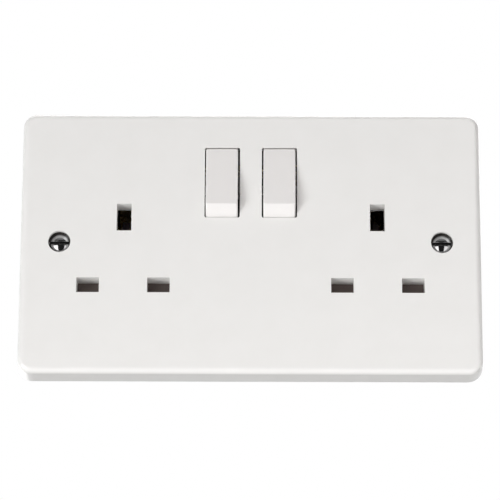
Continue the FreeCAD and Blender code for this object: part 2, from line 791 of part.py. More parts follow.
def make_line_bar():
    """The incoming line: a terminal pad, and two arms whose knife edges carry the rocking contacts."""
    bar = Piece("line_bar")
    half, wide = size("strip_width") / 2, size("bar_width") / 2
    pad_left = size("supply_offset") - size("block_width") / 2
    pad_right = size("supply_offset") + size("block_width") / 2
    pad_half = size("block_height") / 2
    tip = pivot_z + size("knife_radius")
    inner = size("switch_offset") - wide
    outer = size("switch_offset") + wide
    arm = pivot_z - 2 * size("rocking_half")

    def strip(s):
        s.outline([
            (-wide, supply_z - wide), (pad_left, supply_z - wide), (pad_left, supply_z - pad_half),
            (pad_right, supply_z - pad_half), (pad_right, supply_z + pad_half),
            (pad_left, supply_z + pad_half), (pad_left, supply_z + wide), (wide, supply_z + wide),
            (wide, arm), (outer, arm), (outer, tip), (inner, tip), (inner, arm + 2 * half),
            (-inner, arm + 2 * half), (-inner, tip), (-outer, tip), (-outer, arm), (-wide, arm)])
        s.circle(size("supply_offset"), supply_z, clamp_hole())

    bar.add("front", "strip", line_back, line_front, strip)
    for name, side in SIDES.items():
        bar.add("side", f"knife_{name}", switch_x(side) - wide, switch_x(side) + wide, lambda s: s.arch(
            knife_y, pivot_z, size("knife_radius"), line_front))


def clamp_hole():
    return size("clamp_radius") + size("clamp_play") * 3


def make_neutral_bar():
    """One straight bar joins both neutral clips and carries the neutral terminal on a tab."""
    bar = Piece("neutral_bar")
    half = size("bar_width") / 2
    ends = size("clip_width") / 2
    tab = size("block_width") / 2
    x = -size("supply_offset")

    def strip(s):
        s.outline([
            (neutral_x(-1) - ends, pin_row - half), (x - tab, pin_row - half),
            (x - tab, supply_z - size("block_height") / 2),
            (x + tab, supply_z - size("block_height") / 2), (x + tab, pin_row - half),
            (neutral_x(1) + ends, pin_row - half), (neutral_x(1) + ends, pin_row + half),
            (neutral_x(-1) - ends, pin_row + half)])
        s.circle(x, supply_z, clamp_hole())

    bar.add("front", "strip", bar_back, bar_front, strip)
    foot = 2 * size("clip_mouth") + size("clip_wall")
    for name, side in SIDES.items():
        bar.add("front", f"pad_{name}", bar_back, bar_front,
                lambda s: s.box(neutral_x(side), pin_row, size("clip_width"), foot))
        add_clip(bar, f"clip_{name}", neutral_x(side), pin_row, bar_front, clip_front, "side")


def make_earth_bar():
    """The earth bar runs over the switches and joins both earth clips and both earth terminals."""
    bar = Piece("earth_bar")
    half = size("bar_width") / 2
    x, tx = size("outlet_offset"), size("earth_terminal_offset")
    pad, foot = size("clip_mouth") + size("clip_wall") / 2, size("clip_width") * 3 / 4
    tab = size("block_width") / 2
    tab_low = earth_terminal_z - size("block_height") / 2
    low = earth_terminal_z + size("block_height") / 2
    high = low + size("strip_width")

    def strip(s):
        s.outline([
            (-x - pad, earth_row - foot), (-x + pad, earth_row - foot), (-x + pad, earth_row + foot),
            (-x + half, earth_row + foot), (-x + half, low), (-tx - tab, low), (-tx - tab, tab_low),
            (-tx + tab, tab_low), (-tx + tab, low), (tx - tab, low), (tx - tab, tab_low),
            (tx + tab, tab_low), (tx + tab, low), (x - half, low), (x - half, earth_row + foot),
            (x - pad, earth_row + foot), (x - pad, earth_row - foot), (x + pad, earth_row - foot),
            (x + pad, earth_row + foot), (x + half, earth_row + foot), (x + half, high),
            (-x - half, high), (-x - half, earth_row + foot), (-x - pad, earth_row + foot)])
        for hand in (-1, 1):
            s.circle(hand * tx, earth_terminal_z, clamp_hole())

    bar.add("front", "strip", bar_back, bar_front, strip)
    tip = shutter_front + shutter_travel + size("clip_wall")
    for name, side in SIDES.items():
        add_clip(bar, f"clip_{name}", outlet_x(side), earth_row, bar_front, tip, "top")


def make_terminal(name, x, z, strip_front):
    """A brass block with its wire bore upright, and the slotted clamp screw behind it."""
    block = Piece(f"{name}_terminal")
    width, height = size("block_width"), size("block_height")
    block.add("front", "block", strip_front, size("block_front"), lambda s: s.box(x, z, width, height))
    block.cut("top", "wire_bore", z - height, z + height,
              lambda s: s.circle(x, size("bore_depth"), size("bore_radius")))
    block.cut("front", "clamp_hole", strip_front, size("bore_depth"),
              lambda s: s.circle(x, z, size("clamp_radius") + size("clamp_play")))
    screw = Piece(f"{name}_clamp_screw")
    radius, head = size("clamp_radius"), size("clamp_head")
    tip = size("bore_depth") + size("bore_radius") + size("clamp_play")
    neck = floor_front - size("clamp_head_height") * 2 / 3
    top = neck + size("clamp_head_height")
    chamfer = radius / 4
    screw.turn("Revolution", "turned", x, z, [
        (0, tip), (radius - chamfer, tip), (radius, tip + chamfer), (radius, neck), (head, neck),
        (head, top - chamfer), (head - chamfer, top), (0, top)])
    screw.cut("front", "slot", top + 1, top - size("drive_depth"), lambda s: s.box(
        x, z, 3 * head, size("drive_slot")))


def make_rear_housing():
    """The moulded base: a deep tray with pin chambers, posts, saddles and screw columns."""
    housing = Piece("rear_housing")
    width, height, wall = housing_width, housing_height, size("housing_wall")
    housing.add("front", "shell", housing_back, seat, lambda s: s.rounded(
        0, 0, width, height, size("housing_corner")))
    housing.fillet("edge", size("housing_edge"), lambda edge: flat_edge(edge, "Y", housing_back.value))
    housing.cut("front", "hollow", floor_front, seat, lambda s: s.rounded(
        0, 0, width - 2 * wall, height - 2 * wall, size("housing_corner") - wall))

    def columns(s):
        for x, z in column_places():
            s.circle(x, z, size("column_radius"))

    housing.add("front", "columns", floor_front, seat, columns)

    chamber = size("clip_mouth") + size("clip_wall") + size("closed_gap")
    rib = size("rib_wall")

    def chamber_walls(s):
        for x, z in pin_places():
            for above in (-1, 1):
                s.box(x, z + above * (chamber + rib / 2), 2 * (size("clip_mouth") + size("clip_wall") + rib),
                      rib)

    housing.add("front", "chamber_walls", floor_front, chamber_front, chamber_walls)

    def strip_slots(s):
        for side in SIDES.values():
            s.box(line_x(side), pin_row + chamber + rib / 2,
                  size("strip_width") + 2 * size("shutter_gap"), 2 * rib)

    housing.cut("front", "strip_slots", line_back + size("shutter_gap"), chamber_front - 1, strip_slots)

    def earth_walls(s):
        for side in SIDES.values():
            for hand in (-1, 1):
                s.box(outlet_x(side) + hand * (chamber + rib), earth_row, rib,
                      size("earth_height") + 2 * rib)

    housing.add("front", "earth_walls", floor_front, shutter_front + shutter_travel, earth_walls)

    def barriers(s):
        low = -height / 2 + wall / 2
        high = supply_z + size("block_height") / 2
        x = size("supply_offset") / 2 - rib
        for left in (-x, size("supply_offset") + x, -size("supply_offset") - x):
            s.span(left - rib / 2, left + rib / 2, low, high)
        low = earth_terminal_z - size("block_height") / 2
        high = earth_terminal_z + size("block_height") / 3
        middle = (size("riser_offset") + size("earth_terminal_offset")
                  + (size("strip_width") - size("block_width")) / 2) / 2
        for hand in (-1, 1):
            s.span(hand * middle - rib / 2, hand * middle + rib / 2, low, high)

    housing.add("front", "barriers", floor_front, chamber_front, barriers)

    def saddles(s):
        for side in SIDES.values():
            for hand in (-1, 1):
                s.box(switch_x(side) + hand * (window_width + size("cheek_wall")) / 2, pivot_z,
                      size("cheek_wall"), 2 * size("trunnion_radius"))

    saddle_front = pivot_y + size("trunnion_radius") + size("trunnion_play")
    housing.add("front", "saddles", floor_front, saddle_front, saddles)

    def tail_stops(s):
        for side in SIDES.values():
            for hand in (-1, 1):
                s.circle(switch_x(side) + hand * (size("tail_width") - size("tail_length")) / 2,
                         pivot_z - size("rocking_half") + size("tail_length") / 2,
                         size("tail_length") * 0.45)

    stop_front = (knife_y + size("rocking_half") * sine(size("rocking_tilt")) + size("closed_gap"))
    housing.add("front", "tail_stops", floor_front, stop_front, tail_stops)

    def line_posts(s):
        for side in SIDES.values():
            s.circle(line_x(side), band_z, size("post_radius"))
            s.circle(side * size("riser_offset"), pivot_z / 2, size("post_radius"))
            s.circle(side * size("riser_offset"), rivet_z, size("post_radius"))
            s.circle(switch_x(side), pivot_z / 2, size("post_radius"))
        s.circle(0, band_z, size("post_radius"))
        s.circle(size("bar_width"), supply_z, size("post_radius"))

    housing.add("front", "line_posts", floor_front, line_back, line_posts)

    def bar_posts(s):
        for x in (outlet_x(-1), length(0), neutral_x(1) - size("clip_width")):
            s.circle(x, pin_row, size("post_radius"))
        top = earth_terminal_z + (size("block_height") + size("strip_width")) / 2
        for side in SIDES.values():
            s.circle(outlet_x(side), (earth_row + top) / 2, size("post_radius"))
        s.circle(0, top, size("post_radius"))

    housing.add("front", "bar_posts", floor_front, bar_back, bar_posts)

    def spring_seats(s):
        for side in SIDES.values():
            s.span(outlet_x(side) - size("web_width") / 3, outlet_x(side) + size("web_width") / 3,
                   -height / 2 + wall / 2, seat_top_z())

    housing.add("front", "spring_seats", floor_front, chamber_front, spring_seats)

    def spigots(s):
        for side in SIDES.values():
            s.circle(outlet_x(side), spring_axis_y(),
                     size("spring_radius") - size("spring_wire") / 2 - size("closed_gap"))

    housing.add("top", "spigots", seat_top_z(), seat_top_z() + size("pocket_depth") / 2, spigots)

    def wire_ways(s, places):
        for x in places:
            s.circle(x, size("bore_depth"), size("bore_radius") + 2 * size("shutter_gap"))

    supply = (size("supply_offset"), -size("supply_offset"))
    earth = (size("earth_terminal_offset"), -size("earth_terminal_offset"))
    housing.cut("top", "supply_ways", -height / 2 - 1, -height / 2 + 2 * wall,
                lambda s: wire_ways(s, supply))
    housing.cut("top", "earth_ways", height / 2 - 2 * wall, height / 2 + 1,
                lambda s: wire_ways(s, earth))

    def clamp_ways(s):
        for x in supply:
            s.circle(x, supply_z, size("clamp_head") + size("shutter_gap"))
        for x in earth:
            s.circle(x, earth_terminal_z, size("clamp_head") + size("shutter_gap"))

    housing.cut("front", "clamp_ways", housing_back, floor_front - 1, clamp_ways)

    def screw_ways(s):
        for x, z in column_places():
            s.circle(x, z, size("assembly_radius") + size("clamp_play") * 2)

    housing.cut("front", "screw_ways", housing_back, seat, screw_ways)

    def screw_recesses(s):
        for x, z in column_places():
            s.circle(x, z, size("assembly_head") + size("clamp_play") * 2)

    housing.cut("front", "screw_recesses", housing_back, floor_front, screw_recesses)

    def boss_reliefs(s):
        for side in SIDES.values():
            s.circle(fixing_x(side), 0, size("spigot_radius") + 2 * size("shutter_gap"))

    housing.cut("front", "boss_reliefs", size("shutter_gap"), seat, boss_reliefs)


def make_assembly_screws():
    """Four long self-tapping screws, put in from the rear, hold the housing to the plate."""
    screws = Piece("assembly_screws")
    head, radius = size("assembly_head"), size("assembly_radius")
    top = floor_front + size("floor_wall") - size("clamp_play")
    tip = inner_face + size("rib_wall")
    for number, (x, z) in enumerate(column_places()):
        screws.turn("Revolution", f"turned_{number}", x, z, [
            (0, tip), (radius / 2, tip), (radius, tip + radius), (radius, floor_front),
            (head, floor_front), (head, top - radius / 2), (head - radius / 2, top), (0, top)])

    def slots(s):
        for x, z in column_places():
            s.box(x, z, 3 * head, size("drive_slot"))

    screws.cut("front", "slots", top + 1, top - size("drive_depth"), slots)


def make_all():
    make_front_plate()
    make_rear_housing()
    for name, side in SIDES.items():
        make_fixing_screw(name, side)
        make_rocker(name, side)
        make_plunger(name, side)
        make_plunger_spring(name, side)
        make_rocking_contact(name, side)
        make_line_contact(name, side)
        make_shutter(name, side)
        make_shutter_spring(name, side)
        make_terminal(f"earth_{name}", side * size("earth_terminal_offset"), earth_terminal_z, bar_front)
    make_line_bar()
    make_neutral_bar()
    make_earth_bar()
    make_terminal("line", size("supply_offset"), supply_z, line_front)
    make_terminal("neutral", -size("supply_offset"), supply_z, bar_front)
    make_assembly_screws()


def write_parts():
    """Check every object, then write each body to a file with its label as name."""
    for item in doc.Objects:
        if "Invalid" in item.State or "Error" in item.State:
            raise RuntimeError(f"{item.Label} failed: {item.State}")
    bodies = [item for item in doc.Objects if item.TypeId == "PartDesign::Body"]
    for body in bodies:
        if body.Shape.isNull() or not body.Shape.isValid() or not body.Shape.Solids:
            raise RuntimeError(f"{body.Label} has no valid shape")
    os.makedirs("parts", exist_ok=True)
    for body in bodies:
        body.Shape.exportStep(f"parts/{body.Label}.step")
        print(body.Label, len(body.Shape.Solids), round(body.Shape.Volume, 3))


doc = FreeCAD.newDocument("twin_socket")
sheet = doc.addObject("Spreadsheet::Sheet", "Sizes")
for row, (alias, value) in enumerate(SIZES.items(), 1):
    sheet.set(f"A{row}", alias)
    sheet.set(f"B{row}", str(value))
    sheet.setAlias(f"B{row}", alias)
doc.recompute()
make_all()
doc.recompute()
write_parts()
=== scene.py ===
import logging
import math
from dataclasses import dataclass, field
from enum import Enum

import bpy
import numpy as np
from mathutils import Matrix, Vector


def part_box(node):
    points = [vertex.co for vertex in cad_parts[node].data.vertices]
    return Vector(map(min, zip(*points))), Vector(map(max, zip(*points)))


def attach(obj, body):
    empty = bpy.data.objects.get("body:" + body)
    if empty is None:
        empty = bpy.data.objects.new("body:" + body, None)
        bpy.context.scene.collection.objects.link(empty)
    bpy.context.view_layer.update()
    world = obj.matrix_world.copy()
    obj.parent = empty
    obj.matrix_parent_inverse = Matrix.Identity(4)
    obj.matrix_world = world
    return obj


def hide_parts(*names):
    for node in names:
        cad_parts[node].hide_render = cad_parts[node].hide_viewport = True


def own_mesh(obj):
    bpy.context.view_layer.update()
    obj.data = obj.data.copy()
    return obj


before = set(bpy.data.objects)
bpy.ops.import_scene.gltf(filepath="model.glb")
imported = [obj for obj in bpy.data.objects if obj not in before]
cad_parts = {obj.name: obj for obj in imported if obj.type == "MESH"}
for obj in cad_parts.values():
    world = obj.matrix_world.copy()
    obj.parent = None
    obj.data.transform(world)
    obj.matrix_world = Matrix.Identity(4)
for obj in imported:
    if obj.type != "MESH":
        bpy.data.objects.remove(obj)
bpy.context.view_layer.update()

# Looks of the twin switched socket outlet: its finishes, its two fixing screws with their rolled
# threads, and the studio it is seen in. The scene is in metres, in the frame of the CAD part.
# Sizes of finishes and pieces are named in millimetres, those of the studio in metres.
MM = 0.001

# A cloud noise lies mostly between these two values.
NOISE_LOW, NOISE_HIGH = 0.3, 0.7

# Sockets of a mix node that blends colours.
MIX_FACTOR, MIX_FIRST, MIX_SECOND, MIX_RESULT = 0, 6, 7, 2

# Points that agree to this many decimals of a millimetre are one point.
WELD_DECIMALS = 5

log = logging.getLogger("twin_socket")

Colour = tuple[float, float, float]
Pair = tuple[float, float]


class Side(Enum):
    """The two outlets and their switches, as seen from the front."""

    LEFT = "left"
    RIGHT = "right"


class Grain(Enum):
    """How a metal's fine lines run: the object's axis along which they are drawn out."""

    ALONG_X = (0.06, 1.0, 1.0)
    ALONG_Z = (1.0, 1.0, 0.06)
    NONE = (1.0, 1.0, 1.0)


class Graph:
    """The node tree of one material. Its patterns are laid out on object coordinates."""

    def __init__(self, name: str) -> None:
        """Starts a material with its shader.

        Args:
            name: The material's name.
        """
        self.material = bpy.data.materials.new(name)
        self.material.use_nodes = True
        self.tree = self.material.node_tree
        self.shader = self.tree.nodes["Principled BSDF"]
        self.output = self.tree.nodes["Material Output"]
        self.place = self.node("ShaderNodeTexCoord").outputs["Object"]

    def node(self, kind: str, **settings: object) -> bpy.types.ShaderNode:
        """Adds a node.

        Args:
            kind: The node's type name.
            settings: Properties to set on it.

        Returns:
            The new node.
        """
        made = self.tree.nodes.new(kind)
        for key, value in settings.items():
            setattr(made, key, value)
        return made

    def link(self, source: bpy.types.NodeSocket, target: bpy.types.NodeSocket) -> None:
        """Joins an output to an input."""
        self.tree.links.new(source, target)

    def feed(self, target: bpy.types.NodeSocket, colour: Colour | bpy.types.NodeSocket) -> None:
        """Gives a colour input its value.

        Args:
            target: The input.
            colour: A plain colour, or the socket that gives it.
        """
        if isinstance(colour, tuple):
            target.default_value = (*colour, 1.0)
        else:
            self.link(colour, target)

    def noise(self, size: float, detail: float, stretch: Colour = Grain.NONE.value) -> bpy.types.NodeSocket:
        """Adds cloud noise whose blotches are about a given size.

        Args:
            size: Width of one blotch, in millimetres.
            detail: How many finer layers are added.
            stretch: Scale along X, Y and Z; a small one draws the blotches out that way.

        Returns:
            The noise value, from 0 to 1 and mostly near a half.
        """
        mapping = self.node("ShaderNodeMapping")
        mapping.inputs["Scale"].default_value = stretch
        self.link(self.place, mapping.inputs["Vector"])
        made = self.node("ShaderNodeTexNoise")
        made.inputs["Scale"].default_value = 1.0 / (size * MM)
        made.inputs["Detail"].default_value = detail
        self.link(mapping.outputs["Vector"], made.inputs["Vector"])
        return made.outputs["Fac"]

    def spread(self, source: bpy.types.NodeSocket, low: float, high: float) -> bpy.types.NodeSocket:
        """Maps the middle of a noise onto a range.

        Args:
            source: The noise value.
            low: Result where the noise is low.
            high: Result where it is high.

        Returns:
            The mapped value.
        """
        made = self.node("ShaderNodeMapRange")
        made.inputs["From Min"].default_value = NOISE_LOW
        made.inputs["From Max"].default_value = NOISE_HIGH
        made.inputs["To Min"].default_value = low
        made.inputs["To Max"].default_value = high
        self.link(source, made.inputs["Value"])
        return made.outputs["Result"]

    def step(self, source: bpy.types.NodeSocket, level: float, soft: float) -> bpy.types.NodeSocket:
        """Turns a length into a mask with a smooth edge.

        Args:
            source: The length, in metres.
            level: Where the mask is half way, in millimetres.
            soft: Width of its edge, in millimetres. A negative one turns the mask round.

        Returns:
            0 below the level and 1 above it.
        """
        made = self.node("ShaderNodeMapRange", interpolation_type="SMOOTHSTEP")
        made.inputs["From Min"].default_value = (level - soft / 2) * MM
        made.inputs["From Max"].default_value = (level + soft / 2) * MM
        self.link(source, made.inputs["Value"])
        return made.outputs["Result"]

    def blend(
        self,
        factor: bpy.types.NodeSocket,
        first: Colour | bpy.types.NodeSocket,
        second: Colour | bpy.types.NodeSocket,
    ) -> bpy.types.NodeSocket:
        """Blends two colours.

        Args:
            factor: Share of the second colour.
            first: Colour at a factor of 0, or the socket that gives it.
            second: Colour at a factor of 1, or the socket that gives it.

        Returns:
            The blended colour.
        """
        made = self.node("ShaderNodeMix", data_type="RGBA")
        self.feed(made.inputs[MIX_FIRST], first)
        self.feed(made.inputs[MIX_SECOND], second)
        self.link(factor, made.inputs[MIX_FACTOR])
        return made.outputs[MIX_RESULT]

    def relief(
        self, height: bpy.types.NodeSocket, depth: float, under: bpy.types.NodeSocket | None = None
    ) -> bpy.types.NodeSocket:
        """Turns a value into a fine relief.

        Args:
            height: The value, 0 in the valleys and 1 on the peaks.
            depth: Height of a peak, in millimetres.
            under: Normal of a coarser relief below this one.

        Returns:
            The bent normal.
        """
        made = self.node("ShaderNodeBump")
        made.inputs["Distance"].default_value = depth * MM
        made.inputs["Strength"].default_value = 1.0
        self.link(height, made.inputs["Height"])
        if under is not None:
            self.link(under, made.inputs["Normal"])
        return made.outputs["Normal"]

    def above(self, axis: str, level: float, soft: float) -> bpy.types.NodeSocket:
        """Masks the part of an object that lies past a level.

        Args:
            axis: X, Y or Z.
            level: Where the mask is half way, in millimetres.
            soft: Width of its soft edge, in millimetres. A negative one turns the mask round.

        Returns:
            0 below the level and 1 above it.
        """
        split = self.node("ShaderNodeSeparateXYZ")
        self.link(self.place, split.inputs["Vector"])
        return self.step(split.outputs[axis], level, soft)

    def outside(self, centre: Pair, radius: float, soft: float) -> bpy.types.NodeSocket:
        """Masks what lies outside a cylinder along Y.

        Args:
            centre: Where the cylinder's axis stands, X and Z in millimetres.
            radius: Its radius, in millimetres.
            soft: Width of the mask's soft edge, in millimetres.

        Returns:
            0 inside the cylinder and 1 outside it.
        """
        moved = self.node("ShaderNodeVectorMath", operation="MULTIPLY_ADD")
        self.link(self.place, moved.inputs[0])
        moved.inputs[1].default_value = (1.0, 0.0, 1.0)
        moved.inputs[2].default_value = (-centre[0] * MM, 0.0, -centre[1] * MM)
        away = self.node("ShaderNodeVectorMath", operation="LENGTH")
        self.link(moved.outputs["Vector"], away.inputs[0])
        return self.step(away.outputs["Value"], radius, soft)

    def largest(self, first: bpy.types.NodeSocket, second: bpy.types.NodeSocket) -> bpy.types.NodeSocket:
        """Compares two values.

        Args:
            first: One value.
            second: The other value.

        Returns:
            The larger one.
        """
        made = self.node("ShaderNodeMath", operation="MAXIMUM")
        self.link(first, made.inputs[0])
        self.link(second, made.inputs[1])
        return made.outputs["Value"]


@dataclass(frozen=True)
class Moulding:
    """An injection-moulded plastic: slight clouding, orange peel and a spark-eroded grain."""

    name: str
    colour: Colour
    clouded: Colour
    smooth: float
    rough: float
    cloud_size: float = 9.0
    gloss_size: float = 3.0
    peel_size: float = 1.6
    peel_depth: float = 0.0012
    grain_size: float = 0.12
    grain_depth: float = 0.0015
    reflectance: float = 0.5

    def base_colour(self, graph: Graph) -> bpy.types.NodeSocket:
        """Lays the clouding in the material's tree and gives its colour."""
        cloud = graph.spread(graph.noise(self.cloud_size, detail=3.0), 0.0, 1.0)
        return graph.blend(cloud, self.colour, self.clouded)

    def build(self) -> bpy.types.Material:
        """Makes the material.

        Returns:
            The material, ready for a node or a piece.
        """
        graph = Graph(self.name)
        shader = graph.shader
        graph.link(self.base_colour(graph), shader.inputs["Base Color"])
        gloss = graph.spread(graph.noise(self.gloss_size, detail=4.0), self.smooth, self.rough)
        graph.link(gloss, shader.inputs["Roughness"])
        peel = graph.relief(graph.noise(self.peel_size, detail=1.0), self.peel_depth)
        grain = graph.relief(graph.noise(self.grain_size, detail=1.0), self.grain_depth, peel)
        graph.link(grain, shader.inputs["Normal"])
        shader.inputs["Specular IOR Level"].default_value = self.reflectance
        return graph.material


@dataclass(frozen=True)
class RecessShadeMoulding(Moulding):
    """The plate's plastic, with painted shade laid deep in its two screw recesses, where shade falls."""

    # Painted shade: a near-black colour laid on the recess walls deep inside, where shade falls.
    recess_shade: Colour = (0.05, 0.044, 0.04)
    recesses: tuple[Pair, ...] = ((-60.3, 0.0), (60.3, 0.0))
    reach: float = 3.8
    reach_soft: float = 0.1
    level: float = -8.2
    level_soft: float = 1.0

    def base_colour(self, graph: Graph) -> bpy.types.NodeSocket:
        """Lays the clouding, and painted shade inside each recess from the level inwards.

        Args:
            graph: The material's tree.

        Returns:
            The colour.
        """
        colour = super().base_colour(graph)
        for centre in self.recesses:
            beside = graph.outside(centre, self.reach, self.reach_soft)
            before = graph.above("Y", self.level, -self.level_soft)
            # Painted shade darkens the recess wall inside the radius and behind the level.
            colour = graph.blend(graph.largest(beside, before), self.recess_shade, colour)
        return colour


@dataclass(frozen=True)
class FlashedMoulding(Moulding):
    """A rocker's plastic with a red flash printed on its upper end, hidden while it is off."""

    flash: Colour = (0.46, 0.012, 0.01)
    level: float = 31.6
    level_soft: float = 0.06

    def base_colour(self, graph: Graph) -> bpy.types.NodeSocket:
        """Lays the clouding and, above the level, the flash on the end face; gives the colour."""
        printed = graph.above("Z", self.level, self.level_soft)
        return graph.blend(printed, super().base_colour(graph), self.flash)


@dataclass(frozen=True)
class Metal:
    """A drawn, stamped or plated metal: fine lines, stains and smudges."""

    name: str
    colour: Colour
    stained: Colour
    smooth: float
    rough: float
    grain: Grain = Grain.NONE
    line_size: float = 0.12
    line_depth: float = 0.0012
    stain_size: float = 3.0
    smudge_size: float = 1.2

    def build(self) -> bpy.types.Material:
        """Makes the material.

        Returns:
            The material, ready for a node or a piece.
        """
        graph = Graph(self.name)
        shader = graph.shader
        stain = graph.spread(graph.noise(self.stain_size, detail=5.0), 0.0, 1.0)
        graph.link(graph.blend(stain, self.colour, self.stained), shader.inputs["Base Color"])
        smudge = graph.spread(graph.noise(self.smudge_size, detail=4.0), self.smooth, self.rough)
        graph.link(smudge, shader.inputs["Roughness"])
        lines = graph.noise(self.line_size, detail=2.0, stretch=self.grain.value)
        graph.link(graph.relief(lines, self.line_depth), shader.inputs["Normal"])
        shader.inputs["Metallic"].default_value = 1.0
        return graph.material


PLATE = RecessShadeMoulding("plate_moulding", (0.882, 0.874, 0.863), (0.867, 0.859, 0.846), 0.2, 0.27)
ROCKER = FlashedMoulding("rocker_moulding", (0.87, 0.85, 0.842), (0.856, 0.836, 0.827), 0.36, 0.44)
SHUTTER = Moulding("shutter_moulding", (0.168, 0.13, 0.119), (0.14, 0.108, 0.099), 0.42, 0.55)
PLUNGER = Moulding("plunger_moulding", (0.74, 0.73, 0.7), (0.7, 0.69, 0.66), 0.35, 0.45)
BASE = Moulding("base_moulding", (0.02, 0.019, 0.018), (0.03, 0.028, 0.026), 0.4, 0.6, grain_depth=0.004)
CONTACT = Metal("contact_brass", (0.8, 0.65, 0.36), (0.62, 0.48, 0.25), 0.18, 0.34, Grain.ALONG_Z)
TERMINAL = Metal("terminal_brass", (0.82, 0.58, 0.27), (0.6, 0.4, 0.18), 0.24, 0.42, Grain.ALONG_X)
STEEL = Metal("screw_steel", (0.66, 0.65, 0.6), (0.52, 0.5, 0.44), 0.22, 0.4)
CHROME = Metal("screw_chrome", (0.58, 0.58, 0.59), (0.52, 0.52, 0.53), 0.04, 0.1, line_depth=0.0003)
SPRING = Metal("spring_steel", (0.55, 0.55, 0.56), (0.42, 0.41, 0.4), 0.2, 0.35)


class Finishes:
    """The materials, each built once and shared by the pieces that take it."""

    def __init__(self) -> None:
        """Starts with none built."""
        self.built: dict[str, bpy.types.Material] = {}

    def of(self, finish: Moulding | Metal) -> bpy.types.Material:
        """Gives a finish's material.

        Args:
            finish: The finish.

        Returns:
            Its material.
        """
        if finish.name not in self.built:
            self.built[finish.name] = finish.build()
        return self.built[finish.name]

    def dress(self, finish: Moulding | Metal, *nodes: str) -> None:
        """Gives CAD nodes a finish.

        Args:
            finish: The finish.
            nodes: Names of the nodes.
        """
        for name in nodes:
            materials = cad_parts[name].data.materials
            materials.clear()
            materials.append(self.of(finish))
            log.info("%s takes %s", name, finish.name)


FINISHES = Finishes()


class Surface:
    """A mesh made of grids of points, welded where they touch."""

    def __init__(self, name: str) -> None:
        """Starts an empty surface.

        Args:
            name: Name of the piece.
        """
        self.name = name
        self.points: list[np.ndarray] = []
        self.faces: list[np.ndarray] = []
        self.count = 0

    def grid(self, points: np.ndarray) -> None:
        """Adds a grid of points with four-cornered faces between its neighbours.

        Args:
            points: Rows by columns by 3, in millimetres.
        """
        rows, columns = points.shape[:2]
        index = np.arange(rows * columns).reshape(rows, columns) + self.count
        corners = (index[:-1, :-1], index[:-1, 1:], index[1:, 1:], index[1:, :-1])
        self.faces.append(np.stack(corners, axis=-1).reshape(-1, 4))
        self.points.append(points.reshape(-1, 3))
        self.count += rows * columns

    def build(self, sharp: float) -> bpy.types.Object:
        """Welds the grids and makes the object: each face is halved, and flat halves are left out.

        Args:
            sharp: Angle past which an edge stays sharp, in degrees.

        Returns:
            The object, at the origin.
        """
        points = np.concatenate(self.points)
        faces = np.concatenate(self.faces)
        rounded = np.round(points, WELD_DECIMALS)
        _, first, where = np.unique(rounded, axis=0, return_index=True, return_inverse=True)
        faces = where.reshape(-1)[faces]
        halves = np.concatenate((faces[:, (0, 1, 2)], faces[:, (0, 2, 3)]))
        a, b, c = halves.T
        whole = (a != b) & (b != c) & (a != c)
        mesh = bpy.data.meshes.new(self.name)
        mesh.from_pydata((points[first] * MM).tolist(), [], halves[whole].tolist())
        mesh.shade_smooth()
        mesh.set_sharp_from_angle(angle=math.radians(sharp))
        made = bpy.data.objects.new(self.name, mesh)
        bpy.context.scene.collection.objects.link(made)
        return made


